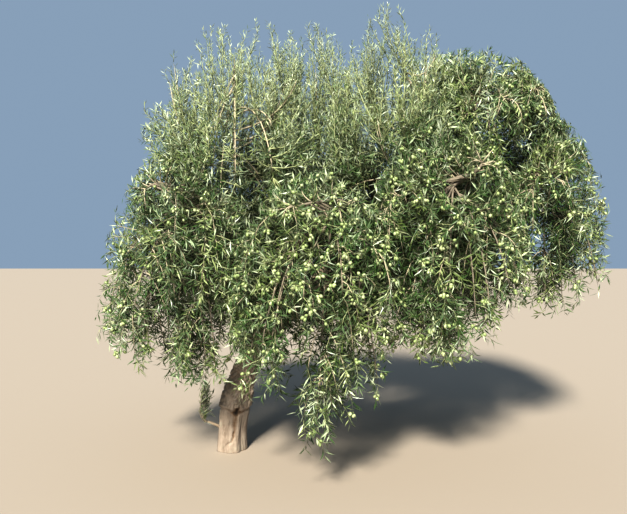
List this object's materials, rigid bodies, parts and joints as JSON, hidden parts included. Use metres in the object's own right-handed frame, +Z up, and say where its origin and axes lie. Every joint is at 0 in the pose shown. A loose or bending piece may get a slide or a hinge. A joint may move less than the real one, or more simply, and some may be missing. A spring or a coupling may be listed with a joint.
{
  "type": "olive tree",
  "caption": "Low spreading olive tree in fruit: short leaning trunk, arching boughs, weeping masses of leaves and upright shoots along the top.",
  "frame": {"origin": "middle of the flat cut under the trunk, at ground level", "axes": "+Z up, +X to the right of someone who faces the tree as the picture does, +Y away from them"},
  "size_m": [3.5874, 2.8163, 3.2589],
  "materials": {
    "bark": "rough furrowed bark",
    "leaves": "leathery, grey-green",
    "young_leaves": "leathery, pale silvery green",
    "twigs": "smooth young bark",
    "olives": "smooth waxy skin, green fruit"
  },
  "bodies": {
    "root": {"trunk": "bark", "bough_right": "bark", "bough_left": "bark", "bough_back": "bark", "bough_leader": "bark", "bough_front": "bark", "bough_to_front": "bark", "bough_to_crown": "bark", "bough_to_back": "bark", "bough_back_left": "bark", "bough_left_rise": "bark", "bough_right_rise": "bark", "basal_spur": "bark", "left_skirt": "leaves", "front_skirt": "leaves", "front_right_skirt": "leaves", "right_end_skirt": "leaves", "right_crown": "leaves", "left_shoots": "young_leaves", "middle_shoots": "young_leaves", "right_shoots": "young_leaves", "back_left_skirt": "leaves", "back_skirt": "leaves", "back_right_skirt": "leaves", "basal_shoot": "leaves"}
  },
  "joints": []
}
